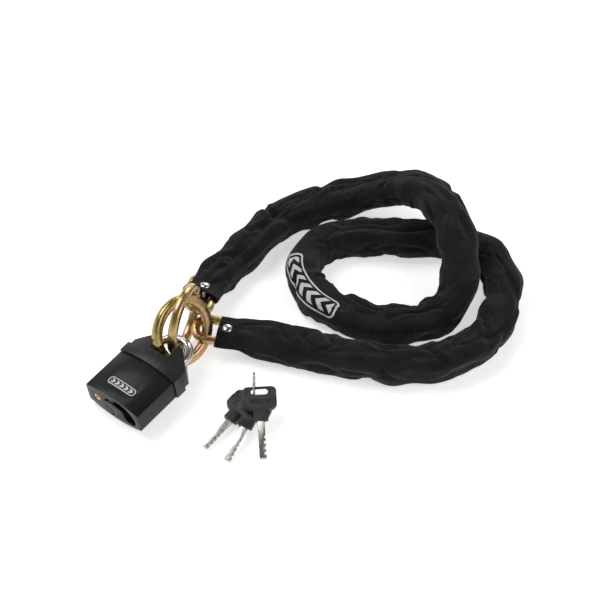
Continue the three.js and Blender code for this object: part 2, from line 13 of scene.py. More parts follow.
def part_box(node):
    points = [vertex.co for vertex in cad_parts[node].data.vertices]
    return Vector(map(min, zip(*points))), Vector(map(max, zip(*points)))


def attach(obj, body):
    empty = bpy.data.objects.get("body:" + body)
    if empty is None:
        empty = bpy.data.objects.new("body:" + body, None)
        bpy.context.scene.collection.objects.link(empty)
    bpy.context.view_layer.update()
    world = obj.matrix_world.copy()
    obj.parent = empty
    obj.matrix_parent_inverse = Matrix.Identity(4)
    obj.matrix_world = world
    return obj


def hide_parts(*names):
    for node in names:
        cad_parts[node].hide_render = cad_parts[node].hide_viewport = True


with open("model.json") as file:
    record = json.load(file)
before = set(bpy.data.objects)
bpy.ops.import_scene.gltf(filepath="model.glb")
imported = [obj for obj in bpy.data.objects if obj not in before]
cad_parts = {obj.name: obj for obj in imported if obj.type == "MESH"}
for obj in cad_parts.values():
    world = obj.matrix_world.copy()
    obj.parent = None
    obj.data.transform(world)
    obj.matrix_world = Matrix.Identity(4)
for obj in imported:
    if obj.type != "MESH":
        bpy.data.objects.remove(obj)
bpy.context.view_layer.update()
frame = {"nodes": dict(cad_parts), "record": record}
NODES = frame["nodes"]
JOINTS = {joint["name"]: joint for joint in frame["record"]["behaviour"]["joints"]}
MM = 0.001
WORLD = bpy.context.scene


# ---------------------------------------------------------------- helpers


def centre(node):
    low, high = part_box(node)
    return (Vector(low) + Vector(high)) / 2


def new_object(name, mesh):
    thing = bpy.data.objects.new(name, mesh)
    bpy.context.collection.objects.link(thing)
    return thing


def object_from(name, points, faces, uvs=None):
    mesh = bpy.data.meshes.new(name)
    mesh.from_pydata([tuple(point) for point in points], [], [tuple(face) for face in faces])
    if uvs is not None:
        layer = mesh.uv_layers.new(name="UVMap")
        corners = np.empty(len(mesh.loops), dtype=np.int64)
        mesh.loops.foreach_get("vertex_index", corners)
        layer.data.foreach_set("uv", np.asarray(uvs, dtype=float)[corners].ravel())
    mesh.polygons.foreach_set("use_smooth", [True] * len(mesh.polygons))
    mesh.update()
    return new_object(name, mesh)


def dress(thing, material, body=None, replaces=()):
    thing.data.materials.clear()
    thing.data.materials.append(material)
    if body:
        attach(thing, body)
    if replaces:
        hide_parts(*replaces)
    return thing


def refined(node, width, material, body, segments=3, angle=30):
    """A copy of a CAD node's mesh with its flat faces made whole and its edges rounded."""
    mesh = NODES[node].data.copy()
    work = bmesh.new()
    work.from_mesh(mesh)
    bmesh.ops.remove_doubles(work, verts=work.verts, dist=4e-6)
    bmesh.ops.dissolve_limit(
        work, angle_limit=math.radians(0.6), verts=work.verts, edges=work.edges
    )
    for face in work.faces:
        face.smooth = True
    work.to_mesh(mesh)
    work.free()
    thing = new_object(f"{node}.fine", mesh)
    bevel = thing.modifiers.new("edge rounding", "BEVEL")
    bevel.width = width * MM
    bevel.segments = segments
    bevel.limit_method = "ANGLE"
    bevel.angle_limit = math.radians(angle)
    bevel.harden_normals = True
    bevel.use_clamp_overlap = True
    return dress(thing, material, body, [node])


def principal_frame(node):
    """A node's middle and its axes, longest first, from the spread of its surface."""
    mesh = NODES[node].data
    points = np.empty(len(mesh.vertices) * 3)
    mesh.vertices.foreach_get("co", points)
    points = points.reshape(-1, 3)
    rounded = np.unique(np.round(points, 6), axis=0)
    middle = rounded.mean(axis=0)
    spread = np.cov((rounded - middle).T)
    _, axes = np.linalg.eigh(spread)
    return Vector(middle), [Vector(axes[:, index]).normalized() for index in (2, 1, 0)]


def swept(name, centres, firsts, seconds, section, closed=True):
    """Skins a section, given as (first, second) pairs per station, along a line."""
    points, faces, uvs = [], [], []
    stations, around = len(centres), len(section[0])
    for index in range(stations):
        for count, (a, b) in enumerate(section[index % len(section)]):
            points.append(centres[index] + firsts[index] * a + seconds[index] * b)
            uvs.append((count / around, index / stations))
    last = stations if closed else stations - 1
    for index in range(last):
        here, there = index * around, ((index + 1) % stations) * around
        for count in range(around):
            other = (count + 1) % around
            faces.append((here + count, here + other, there + other, there + count))
    if not closed:
        faces.append(tuple(reversed(range(around))))
        faces.append(tuple((stations - 1) * around + count for count in range(around)))
    return object_from(name, points, faces, uvs)


def squircle(half_a, half_b, power, count):
    pairs = []
    for index in range(count):
        turn = 2 * math.pi * index / count
        c, s = math.cos(turn), math.sin(turn)
        pairs.append((
            half_a * math.copysign(abs(c) ** (2 / power), c),
            half_b * math.copysign(abs(s) ** (2 / power), s),
        ))
    return pairs


# ---------------------------------------------------------------- shader helpers


class Shader:
    """A material under construction."""

    def __init__(self, name, **settings):
        self.material = bpy.data.materials.new(name)
        self.material.use_nodes = True
        self.nodes = self.material.node_tree.nodes
        self.links = self.material.node_tree.links
        self.surface = self.nodes["Principled BSDF"]
        for key, value in settings.items():
            self.surface.inputs[key.replace("_", " ")].default_value = value

    def add(self, kind, settings=(), inputs=()):
        node = self.nodes.new(kind)
        for key, value in dict(settings).items():
            setattr(node, key, value)
        for key, value in dict(inputs).items():
            self.put(node.inputs[key], value)
        return node

    def put(self, socket, value):
        if isinstance(value, bpy.types.NodeSocket):
            self.links.new(value, socket)
        else:
            socket.default_value = value

    def math(self, operation, *values):
        node = self.add("ShaderNodeMath", {"operation": operation})
        for index, value in enumerate(values):
            self.put(node.inputs[index], value)
        return node.outputs[0]

    def place(self, kind="Object"):
        return self.add("ShaderNodeTexCoord").outputs[kind]

    def noise(self, scale, detail=3.0, roughness=0.5, where=None, distortion=0.0):
        node = self.add(
            "ShaderNodeTexNoise",
            inputs={"Scale": scale, "Detail": detail, "Roughness": roughness, "Distortion": distortion},
        )
        self.links.new(where or self.place(), node.inputs["Vector"])
        return node.outputs["Fac"]

    def ramp(self, factor, *stops):
        node = self.add("ShaderNodeValToRGB")
        band = node.color_ramp
        while len(band.elements) < len(stops):
            band.elements.new(0.5)
        for element, (place, colour) in zip(band.elements, stops):
            element.position = place
            element.color = (*colour, 1) if len(colour) == 3 else colour
        self.links.new(factor, node.inputs["Fac"])
        return node.outputs["Color"]

    def span(self, value, low, high, out_low, out_high):
        node = self.add("ShaderNodeMapRange")
        for key, number in zip(("Value", "From Min", "From Max", "To Min", "To Max"),
                               (value, low, high, out_low, out_high)):
            self.put(node.inputs[key], number)
        return node.outputs["Result"]

    def blend(self, factor, first, second):
        node = self.add("ShaderNodeMix", {"data_type": "RGBA"})
        self.put(node.inputs["Factor"], factor)
        self.put(node.inputs[6], first)
        self.put(node.inputs[7], second)
        return node.outputs[2]

    def bump(self, height, distance, strength=1.0, under=None):
        node = self.add("ShaderNodeBump", inputs={"Strength": strength, "Distance": distance * MM})
        self.links.new(height, node.inputs["Height"])
        if under is not None:
            self.links.new(under, node.inputs["Normal"])
        return node.outputs["Normal"]

    def finish(self, **sockets):
        for key, value in sockets.items():
            self.links.new(value, self.surface.inputs[key.replace("_", " ")])
        return self.material


def mark_mask(shader, along, across, half_length, half_width, radius, line, pitch):
    """1 on a plain printed panel: a rounded outline round a row of chevrons. Units are mm."""
    m = shader.math
    reach = m("MAXIMUM", m("SUBTRACT", m("ABSOLUTE", along), half_length - radius), 0.0)
    rise = m("MAXIMUM", m("SUBTRACT", m("ABSOLUTE", across), half_width - radius), 0.0)
    corner = m("SQRT", m("ADD", m("MULTIPLY", reach, reach), m("MULTIPLY", rise, rise)))
    distance = m("SUBTRACT", corner, radius)
    outline = m("LESS_THAN", m("ABSOLUTE", m("ADD", distance, line)), line / 2)
    inside = m("LESS_THAN", distance, -2.6 * line)
    phase = m("FRACT", m("DIVIDE", m("ADD", along, m("ABSOLUTE", across)), pitch))
    stripes = m("LESS_THAN", phase, 0.5)
    return m("MAXIMUM", outline, m("MULTIPLY", inside, stripes))


# ---------------------------------------------------------------- materials


def black_shell():
    s = Shader("black satin shell", Roughness=0.4, IOR=1.45, Specular_IOR_Level=0.28)
    grain = s.noise(2600, 2, 0.6)
    cloud = s.noise(60, 4, 0.6)
    colour = s.ramp(cloud, (0.3, (0.0045, 0.0045, 0.005)), (0.7, (0.008, 0.008, 0.0085)))
    rough = s.span(s.noise(240, 4, 0.7), 0.25, 0.75, 0.30, 0.44)
    return s.finish(Base_Color=colour, Roughness=rough, Normal=s.bump(grain, 0.02, 0.5))


def grey_steel():
    s = Shader("dark grey coated steel", Roughness=0.42, IOR=1.45, Specular_IOR_Level=0.35)
    colour = s.ramp(s.noise(90, 4, 0.6), (0.3, (0.012, 0.012, 0.0125)), (0.7, (0.022, 0.022, 0.023)))
    rough = s.span(s.noise(300, 4, 0.7), 0.25, 0.75, 0.30, 0.46)
    return s.finish(Base_Color=colour, Roughness=rough, Normal=s.bump(s.noise(2600, 2, 0.6), 0.02, 0.5))


def chrome_steel():
    s = Shader("plated steel", Metallic=1.0, Roughness=0.1)
    colour = s.ramp(s.noise(70, 4, 0.6), (0.3, (0.50, 0.50, 0.51)), (0.7, (0.70, 0.70, 0.69)))
    scratch = s.noise(900, 3, 0.7, distortion=2.0)
    rough = s.span(s.noise(160, 4, 0.7), 0.3, 0.7, 0.07, 0.22)
    return s.finish(Base_Color=colour, Roughness=rough, Normal=s.bump(scratch, 0.008, 0.5))


def zinc():
    """Yellow passivated zinc: gold that drifts to pink and green."""
    s = Shader("yellow passivated zinc", Metallic=1.0, Roughness=0.25)
    drift = s.noise(85, 3, 0.55, distortion=1.2)
    colour = s.ramp(
        drift,
        (0.30, (0.25, 0.29, 0.10)),
        (0.42, (0.42, 0.35, 0.12)),
        (0.50, (0.54, 0.40, 0.15)),
        (0.58, (0.56, 0.31, 0.19)),
        (0.66, (0.50, 0.24, 0.22)),
        (0.76, (0.44, 0.35, 0.14)),
    )
    stain = s.noise(420, 5, 0.7)
    colour = s.blend(s.span(stain, 0.5, 0.72, 0.0, 0.35), colour, (0.22, 0.17, 0.09, 1))
    rough = s.span(s.noise(260, 4, 0.7), 0.3, 0.7, 0.16, 0.36)
    return s.finish(Base_Color=colour, Roughness=rough, Normal=s.bump(s.noise(500, 4, 0.6), 0.03, 0.5))


def brass():
    s = Shader("turned brass", Metallic=1.0, Roughness=0.25)
    colour = s.ramp(s.noise(300, 4, 0.6), (0.3, (0.60, 0.40, 0.12)), (0.7, (0.80, 0.58, 0.24)))
    rough = s.span(s.noise(900, 3), 0.3, 0.7, 0.18, 0.36)
    return s.finish(Base_Color=colour, Roughness=rough, Normal=s.bump(s.noise(1500, 2), 0.01, 0.4))


def plastic(name, dark, light):
    s = Shader(name, Roughness=0.5, IOR=1.46)
    colour = s.ramp(s.noise(120, 3), (0.3, dark), (0.7, light))
    rough = s.span(s.noise(500, 3, 0.6), 0.3, 0.7, 0.42, 0.6)
    return s.finish(Base_Color=colour, Roughness=rough, Normal=s.bump(s.noise(1900, 2, 0.6), 0.035, 0.6))


def key_steel():
    """Nickel silver with fine machining lines."""
    s = Shader("nickel silver", Metallic=1.0, Roughness=0.28)
    colour = s.ramp(s.noise(180, 4, 0.6), (0.3, (0.38, 0.365, 0.32)), (0.7, (0.58, 0.56, 0.51)))
    lines = s.noise(2400, 2, 0.7, distortion=3.0)
    rough = s.span(s.noise(600, 3), 0.3, 0.7, 0.22, 0.4)
    return s.finish(Base_Color=colour, Roughness=rough, Normal=s.bump(lines, 0.012, 0.5))


def badge():
    """The badge's print, in a map of millimetres along and across the plate."""
    s = Shader("badge plate", Roughness=0.34, IOR=1.5)
    split = s.add("ShaderNodeSeparateXYZ")
    s.links.new(s.place("UV"), split.inputs[0])
    mask = mark_mask(s, split.outputs[0], split.outputs[1],
                     half_length=13.4, half_width=3.7, radius=3.2, line=0.75, pitch=4.4)
    rub = s.span(s.noise(900, 3, 0.7), 0.35, 0.65, 0.85, 1.0)
    colour = s.blend(s.math("MULTIPLY", mask, rub), (0.010, 0.010, 0.011, 1), (0.66, 0.67, 0.68, 1))
    rough = s.span(s.noise(400, 3, 0.7), 0.3, 0.7, 0.3, 0.45)
    return s.finish(Base_Color=colour, Roughness=rough, Normal=s.bump(mask, 0.06, 0.6))


def sleeve_fabric(print_from, print_side):
    """Ribbed woven polyester. The map is millimetres round the sleeve and along it."""
    s = Shader(
        "ribbed sleeve fabric", Roughness=0.9, IOR=1.4, Specular_IOR_Level=0.15,
        Sheen_Weight=0.14, Sheen_Roughness=0.45,
    )
    s.surface.inputs["Sheen Tint"].default_value = (0.8, 0.8, 0.85, 1)
    split = s.add("ShaderNodeSeparateXYZ")
    s.links.new(s.place("UV"), split.inputs[0])
    around, along = split.outputs[0], split.outputs[1]
    m = s.math
    wobble = s.noise(140, 2, 0.5)
    rib = m("SINE", m("ADD", m("MULTIPLY", along, 2 * math.pi / 1.45), m("MULTIPLY", wobble, 5.0)))
    rib = s.span(rib, -1.0, 1.0, 0.0, 1.0)
    thread = m("SINE", m("MULTIPLY", around, 2 * math.pi / 0.8))
    thread = s.span(thread, -1.0, 1.0, 0.0, 1.0)
    fuzz = s.noise(1500, 4, 0.7)
    patch = s.noise(34, 4, 0.6)
    # Painted highlight and painted shade: the colour is lighter on each rib crest and darker in the
    # troughs, following the rib wave. Random patches and fuzz are added on top.
    crest_shade_and_tone = m("ADD", m("MULTIPLY", rib, 0.55), m("MULTIPLY", m("MULTIPLY", rib, thread), 0.2))
    crest_shade_and_tone = m("ADD", crest_shade_and_tone, m("MULTIPLY", m("SUBTRACT", patch, 0.5), 0.9))
    crest_shade_and_tone = m("ADD", crest_shade_and_tone, m("MULTIPLY", m("SUBTRACT", fuzz, 0.5), 0.5))
    colour = s.ramp(
        crest_shade_and_tone, (0.0, (0.003, 0.003, 0.0032)), (0.5, (0.015, 0.015, 0.0157)), (1.0, (0.046, 0.046, 0.047))
    )
    mask = mark_mask(
        s, m("SUBTRACT", along, print_from), m("SUBTRACT", around, print_side),
        half_length=32.0, half_width=9.5, radius=5.5, line=1.6, pitch=9.0,
    )
    worn = s.span(fuzz, 0.35, 0.6, 0.82, 1.0)
    ink = m("MULTIPLY", m("MULTIPLY", mask, worn), s.span(rib, 0.0, 0.6, 0.75, 1.0))
    colour = s.blend(ink, colour, (0.74, 0.74, 0.73, 1))
    weave = m("ADD", m("MULTIPLY", rib, 0.8), m("MULTIPLY", thread, 0.25))
    coarse = s.bump(s.noise(220, 4, 0.6), 0.35, 0.5)
    normal = s.bump(m("ADD", weave, m("MULTIPLY", fuzz, 0.5)), 0.28, 0.9, coarse)
    rough = s.span(fuzz, 0.3, 0.7, 0.78, 0.95)
    return s.finish(Base_Color=colour, Roughness=rough, Normal=normal)


def floor_material():
    s = Shader(
        "pale floor", Roughness=0.9, Specular_IOR_Level=0.0,
        Emission_Color=(1, 1, 1, 1), Emission_Strength=0.55,
    )
    colour = s.ramp(s.noise(6, 2), (0.0, (0.88, 0.88, 0.88)), (1.0, (0.92, 0.92, 0.92)))
    return s.finish(Base_Color=colour)


# ---------------------------------------------------------------- camera

LOOK_AT = Vector((-8.17, 21.57, 0)) * MM
CAMERA_ELEVATION = 48.0
CAMERA_DISTANCE = 1.2576
LENS = 94.3
SENSOR = 36


def make_camera():
    camera = bpy.data.cameras.new("camera")
    camera.lens = LENS
    camera.sensor_width = SENSOR
    thing = bpy.data.objects.new("camera", camera)
    bpy.context.collection.objects.link(thing)
    tilt = math.radians(CAMERA_ELEVATION)
    thing.location = LOOK_AT + Vector((0, -math.cos(tilt), math.sin(tilt))) * CAMERA_DISTANCE
    thing.rotation_euler = (math.radians(90 - CAMERA_ELEVATION), 0, 0)
    WORLD.camera = thing


make_camera()

# ---------------------------------------------------------------- fabric sleeve

HALF_A = 15.4
HALF_B = 12.9
CORNER = 3.2
# How far the cloth may stand past the plain sleeve, and the gap that it keeps off the links.
CAP_MARGIN = 0.7
LINK_GAP = 0.55
RIVET_INSET = 6.5 * MM
STEP = 1.0
AROUND = 96


def through(points, per_span=24):
    """A centripetal Catmull-Rom curve through points, finely sampled."""
    ends = [2 * points[0] - points[1], *points, 2 * points[-1] - points[-2]]
    line = []
    for index in range(1, len(ends) - 2):
        a, b, c, d = ends[index - 1:index + 3]
        t1 = (b - a).length ** 0.5
        t2 = t1 + (c - b).length ** 0.5
        t3 = t2 + (d - c).length ** 0.5
        for step in range(per_span):
            t = t1 + (t2 - t1) * step / per_span
            a1 = a * ((t1 - t) / t1) + b * (t / t1)
            a2 = b * ((t2 - t) / (t2 - t1)) + c * ((t - t1) / (t2 - t1))
            a3 = c * ((t3 - t) / (t3 - t2)) + d * ((t - t2) / (t3 - t2))
            b1 = a1 * ((t2 - t) / t2) + a2 * (t / t2)
            b2 = a2 * ((t3 - t) / (t3 - t1)) + a3 * ((t - t1) / (t3 - t1))
            line.append(b1 * ((t2 - t) / (t2 - t1)) + b2 * ((t - t1) / (t2 - t1)))
    line.append(points[-1])
    return line


def even(line, step):
    """The line's points again, an even step apart, with the length in metres."""
    points = np.array([tuple(point) for point in line])
    run = np.concatenate([[0], np.cumsum(np.linalg.norm(np.diff(points, axis=0), axis=1))])
    count = int(round(run[-1] / step))
    at = np.linspace(0, run[-1], count + 1)
    return np.stack([np.interp(at, run, points[:, axis]) for axis in range(3)], axis=1), run[-1]


LINKS = [f"chain_link_{index:02d}" for index in range(1, 29)]


def sleeve_line():
    middles = [centre(node) for node in LINKS]
    first, last = centre("sleeve_rivet_a"), centre("sleeve_rivet_b")
    start = first + (first - middles[0]).normalized() * RIVET_INSET
    end = last + (last - middles[-1]).normalized() * RIVET_INSET
    points, length = even(through([start, first, *middles, last, end]), STEP * MM)
    points[:, 2] = np.maximum(points[:, 2], HALF_B * MM)
    return points, length


LINE, SLEEVE_LENGTH = sleeve_line()
STATIONS = len(LINE)
TANGENT = np.gradient(LINE, axis=0)
TANGENT /= np.linalg.norm(TANGENT, axis=1)[:, None]
SIDE = np.cross((0, 0, 1), TANGENT)
SIDE /= np.linalg.norm(SIDE, axis=1)[:, None]
TOP = np.cross(TANGENT, SIDE)
ALONG = np.arange(STATIONS) * SLEEVE_LENGTH / (STATIONS - 1)


def link_surface():
    """How far the chain inside reaches from the centreline, station by direction, in mm."""
    names = ["end_link_a", *LINKS, "end_link_b"]
    middles = np.array([tuple(centre(node)) for node in names])
    meshes = []
    for node in names:
        mesh = NODES[node].data
        meshes.append(([vertex.co.copy() for vertex in mesh.vertices],
                       [tuple(face.vertices) for face in mesh.polygons]))
    trees = {}
    reach = np.zeros((STATIONS, AROUND))
    turns = np.arange(AROUND) * 2 * math.pi / AROUND
    far = 22 * MM
    for station in range(STATIONS):
        nearest = int(np.argmin(np.linalg.norm(middles - LINE[station], axis=1)))
        if nearest not in trees:
            points, faces = [], []
            for other in range(max(0, nearest - 1), min(len(names), nearest + 2)):
                shift = len(points)
                points += meshes[other][0]
                faces += [tuple(shift + corner for corner in face) for face in meshes[other][1]]
            trees[nearest] = BVHTree.FromPolygons(points, faces)
        tree = trees[nearest]
        middle = Vector(LINE[station])
        for count, turn in enumerate(turns):
            way = Vector(SIDE[station] * math.cos(turn) + TOP[station] * math.sin(turn))
            hit = tree.ray_cast(middle + way * far, -way, far)
            if hit[0] is not None:
                reach[station, count] = (far - hit[3]) / MM
    return reach


def blur(field, rounds, along=True, about=True):
    for _ in range(rounds):
        if along:
            padded = np.pad(field, ((1, 1), (0, 0)), mode="edge")
            field = (padded[:-2] + 2 * field + padded[2:]) / 4
        if about:
            field = (np.roll(field, 1, axis=1) + 2 * field + np.roll(field, -1, axis=1)) / 4
    return field


def section_radius(turns, half_a, half_b, power):
    c, s = np.abs(np.cos(turns)), np.abs(np.sin(turns))
    return ((c / half_a) ** power + (s / half_b) ** power) ** (-1 / power)


def noise_field(along, turns, pitch, wraps, seed, shear=0.0):
    """Smooth noise over the sleeve, seamless round it. pitch is its size along, in mm."""
    field = np.empty((len(along), len(turns)))
    ring = [(wraps * math.cos(t), wraps * math.sin(t)) for t in turns]
    for i, s in enumerate(along):
        for k, (x, y) in enumerate(ring):
            place = (s / MM / pitch + shear * y + seed * 17.3, x + seed * 3.1, y - seed * 5.7)
            field[i, k] = noise.noise(place)
    return field


def make_sleeve():
    turns = np.arange(AROUND) * 2 * math.pi / AROUND
    s_mm = ALONG / MM
    total = s_mm[-1]
    # The section: full over the chain, flattened where a rivet holds each end shut.
    from_end_a = np.clip((s_mm - 4) / 34, 0, 1)
    from_end_b = np.clip((total - s_mm - 4) / 44, 0, 1)
    smooth = lambda x: x * x * (3 - 2 * x)
    full = np.minimum(smooth(from_end_a), smooth(from_end_b))
    half_a = 15.0 + 0.5 * full
    half_b = 5.6 + 7.4 * full
    power = 2.3 + 0.9 * full
    radius = section_radius(turns[None, :], half_a[:, None], half_b[:, None], power[:, None])
    c, s = np.abs(np.cos(turns)), np.abs(np.sin(turns))
    cap = np.minimum(
        np.minimum(HALF_A / np.maximum(c, 1e-6), HALF_B / np.maximum(s, 1e-6)),
        (HALF_A + HALF_B - CORNER) / (c + s),
    ) + CAP_MARGIN
    # Lumps at each link, larger and smaller at random, and sagging between them.
    pitch = total / 29.0
    lumps = np.cos(2 * math.pi * (s_mm / pitch))[:, None]
    strength = 0.55 + 1.5 * noise_field(ALONG, turns, 60, 0.8, 1)
    radius = radius * (1 + 0.07 * lumps * strength)
    radius -= 1.5 * np.clip(noise_field(ALONG, turns, 42, 1.1, 2) + 0.15, 0, 1) * 2
    # Bends: the inner side puckers into cross folds.
    turn_rate = np.gradient(TANGENT, axis=0) / (STEP * MM)
    turn_rate = np.stack([blur(turn_rate[:, [axis]], 60, about=False)[:, 0] for axis in range(3)], axis=1)
    inward = (turn_rate[:, None, :] * (SIDE[:, None, :] * np.cos(turns)[None, :, None]
                                       + TOP[:, None, :] * np.sin(turns)[None, :, None])).sum(axis=2)
    squeeze = np.clip(inward * HALF_A * MM * 1.6, 0, 0.85)
    ripple = noise_field(ALONG, turns, 9.5, 0.9, 3, shear=0.5)
    radius -= squeeze * (2.2 + 5.5 * np.abs(ripple))
    # Creases wander over the whole sleeve, deeper where the cloth is slack.
    for size, wraps, shear, depth, width, seed in (
        (46, 0.9, 1.4, 3.2, 0.055, 4), (30, 1.2, -1.8, 2.4, 0.06, 5), (19, 1.7, 0.9, 1.2, 0.07, 6),
        (64, 0.6, -0.6, 2.8, 0.04, 7),
    ):
        wander = noise_field(ALONG, turns, size, wraps, seed, shear)
        fade = np.clip(0.55 + 1.6 * noise_field(ALONG, turns, 75, 0.7, seed + 20), 0, 1.2)
        radius -= depth * fade * np.exp(-((wander / width) ** 2)) * (0.35 + 0.65 * full[:, None])
        radius += 0.35 * depth * fade * np.exp(-(((np.abs(wander) - 2.2 * width) / (1.4 * width)) ** 2))
    radius = blur(radius, 2)
    # The chain holds the cloth out.
    chain = link_surface() + LINK_GAP
    radius = np.maximum(radius, blur(np.maximum(chain, 0), 1))
    radius = np.maximum(blur(radius, 1), chain)
    radius = np.minimum(radius, cap[None, :])
    ways = SIDE[:, None, :] * np.cos(turns)[None, :, None] + TOP[:, None, :] * np.sin(turns)[None, :, None]
    points = LINE[:, None, :] + ways * (radius * MM)[:, :, None]
    points[:, :, 2] = np.maximum(points[:, :, 2], 0.0001)
    girth = 2 * (HALF_A + HALF_B) * 1.72
    # The mouths turn in on themselves, so that the cloth has a thickness at its ends.
    verts = points.reshape(-1, 3).tolist()
    u_values, v_values = [], []
    for i in range(STATIONS):
        u_values += [girth * k / AROUND for k in range(AROUND)]
        v_values += [s_mm[i]] * AROUND
    rings = [[i * AROUND + k for k in range(AROUND)] for i in range(STATIONS)]
    for first, inner_rows in ((0, (0, 3, 9)), (STATIONS - 1, (0, -3, -9))):
        extra = []
        for row in inner_rows:
            station = first + row
            shrink = np.maximum(radius[station] - 1.1, chain[station] - 0.35) * MM
            ring = LINE[station][None, :] + ways[station] * shrink[:, None]
            start = len(verts)
            verts += ring.tolist()
            u_values += [girth * k / AROUND for k in range(AROUND)]
            v_values += [s_mm[station]] * AROUND
            extra.append([start + k for k in range(AROUND)])
        rings = [*reversed(extra), *rings] if first == 0 else [*rings, *extra]
    faces, corner_uv = [], []
    for here, there in zip(rings, rings[1:]):
        for k in range(AROUND):
            n = (k + 1) % AROUND
            faces.append((here[k], there[k], there[n], here[n]))
            seam = girth if n == 0 else u_values[here[n]]
            corner_uv += [
                (u_values[here[k]], v_values[here[k]]), (u_values[there[k]], v_values[there[k]]),
                (seam, v_values[there[n]]), (seam, v_values[here[n]]),
            ]
    mesh = bpy.data.meshes.new("sleeve")
    mesh.from_pydata(verts, [], faces)
    layer = mesh.uv_layers.new(name="UVMap")
    layer.data.foreach_set("uv", np.array(corner_uv).ravel())
    mesh.polygons.foreach_set("use_smooth", [True] * len(mesh.polygons))
    mesh.update()
    work = bmesh.new()
    work.from_mesh(mesh)
    bmesh.ops.recalc_face_normals(work, faces=work.faces)
    work.to_mesh(mesh)
    work.free()
    sleeve = new_object("sleeve_cloth", mesh)
    # The printed panel lies on the inner loop's left end, on the face turned up and outwards.
    target = Vector((10.0, 22.0, 12.9)) * MM
    near = int(np.argmin(np.linalg.norm(LINE - np.array(tuple(target)), axis=1)))
    outward = Vector((-0.35, -0.55, 0.76))
    turn = math.atan2(outward.dot(Vector(TOP[near])), outward.dot(Vector(SIDE[near]))) % (2 * math.pi)
    side = girth / (2 * math.pi) * turn
    dress(sleeve, sleeve_fabric(float(s_mm[near]), side), "chain", ["fabric_sleeve"])
    return radius


SLEEVE_RADIUS = make_sleeve()

# ---------------------------------------------------------------- rivets


def make_rivet(node, station, material):
    """A domed rivet through the flattened end of the sleeve."""
    quarter = AROUND // 4
    top = SLEEVE_RADIUS[station, quarter] * MM
    bottom = SLEEVE_RADIUS[station, 3 * quarter] * MM
    profile = [
        (0.0, top + 1.5 * MM), (1.5 * MM, top + 1.4 * MM), (3.0 * MM, top + 1.0 * MM),
        (4.1 * MM, top + 0.35 * MM), (4.3 * MM, top - 0.2 * MM), (3.9 * MM, top - 0.5 * MM),
        (1.6 * MM, top - 0.7 * MM),
        (1.6 * MM, 0.7 * MM - bottom), (3.9 * MM, 0.5 * MM - bottom), (4.3 * MM, 0.2 * MM - bottom),
        (4.1 * MM, -0.35 * MM - bottom), (3.0 * MM, -0.9 * MM - bottom), (0.0, -1.1 * MM - bottom),
    ]
    middle = Vector(LINE[station])
    side, top_way, along = Vector(SIDE[station]), Vector(TOP[station]), Vector(TANGENT[station])
    count = 40
    points, faces = [], []
    for radius, height in profile:
        for k in range(count):
            turn = 2 * math.pi * k / count
            way = side * math.cos(turn) + along * math.sin(turn)
            points.append(middle + top_way * height + way * radius)
    for row in range(len(profile) - 1):
        for k in range(count):
            n = (k + 1) % count
            faces.append((row * count + k, (row + 1) * count + k, (row + 1) * count + n, row * count + n))
    rivet = object_from(f"{node}.fine", points, faces)
    work = bmesh.new()
    work.from_mesh(rivet.data)
    bmesh.ops.remove_doubles(work, verts=work.verts, dist=1e-6)
    bmesh.ops.recalc_face_normals(work, faces=work.faces)
    work.to_mesh(rivet.data)
    work.free()
    return dress(rivet, material, "chain", [node])


CHROME = chrome_steel()
RIVET_STATION = 7
make_rivet("sleeve_rivet_a", RIVET_STATION, CHROME)
make_rivet("sleeve_rivet_b", STATIONS - 1 - RIVET_STATION, CHROME)

# ---------------------------------------------------------------- rings and links

ZINC = zinc()
RING_MIDDLE_RADIUS = 24.5
RING_HALF_RADIAL = 4.0
RING_HALF_AXIAL = 3.55
LINK_HALF_LENGTH = 25.07
LINK_HALF_WIDTH = 13.0
LINK_BEND = 9.5
LINK_HALF_WIRE = 3.45
BEND_STEPS = 32


def make_ring(node, body, weld_turn):
    """A forged ring with softened corners and a weld bead."""
    middle, (first, second, normal) = principal_frame(node)
    stations, around = 180, 28
    centres, outs, ups, sections = [], [], [], []
    for index in range(stations):
        turn = 2 * math.pi * index / stations
        out = first * math.cos(turn) + second * math.sin(turn)
        centres.append(middle + out * (RING_MIDDLE_RADIUS * MM))
        outs.append(out)
        ups.append(normal)
        gap = abs((turn - weld_turn + math.pi) % (2 * math.pi) - math.pi)
        bead = 1 + 0.05 * math.exp(-((gap / 0.05) ** 2)) - 0.05 * math.exp(-(((gap - 0.13) / 0.04) ** 2))
        sections.append(squircle(RING_HALF_RADIAL * MM * bead, RING_HALF_AXIAL * MM * bead, 2.7, around))
    ring = swept(f"{node}.fine", centres, outs, ups, sections)
    return dress(ring, ZINC, body, [node])


def make_link(node):
    """A link bent from round wire, its ends half circles."""
    mesh = NODES[node].data
    points = np.unique(np.round(np.array([tuple(vertex.co) for vertex in mesh.vertices]), 6), axis=0)
    _, (along, side, normal) = principal_frame(node)
    low_high = [(points @ np.array(tuple(axis))) for axis in (along, side, normal)]
    middle = sum(
        (axis * float((values.min() + values.max()) / 2)
         for axis, values in zip((along, side, normal), low_high)),
        Vector(),
    )
    straight, bend = (LINK_HALF_LENGTH - LINK_HALF_WIDTH) * MM, LINK_BEND * MM
    run = []
    for end in (1, -1):
        for index in range(BEND_STEPS + 1):
            turn = -end * math.pi / 2 + math.pi * index / BEND_STEPS
            c, s = math.cos(turn), math.sin(turn)
            run.append((end * straight + bend * c, bend * s, c, s))
    centres = [middle + along * x + side * y for x, y, _, _ in run]
    outs = [along * x + side * y for _, _, x, y in run]
    section = squircle(LINK_HALF_WIRE * MM, LINK_HALF_WIRE * MM, 2.3, 24)
    link = swept(f"{node}.fine", centres, outs, [normal] * len(run), [section])
    return dress(link, ZINC, "chain", [node])


make_ring("ring_front", "front_ring", 2.4)
make_ring("ring_rear", "rear_ring", 0.6)
for end in ("end_link_a", "end_link_b"):
    make_link(end)
for node in LINKS:
    dress(NODES[node], ZINC)

# ---------------------------------------------------------------- padlock

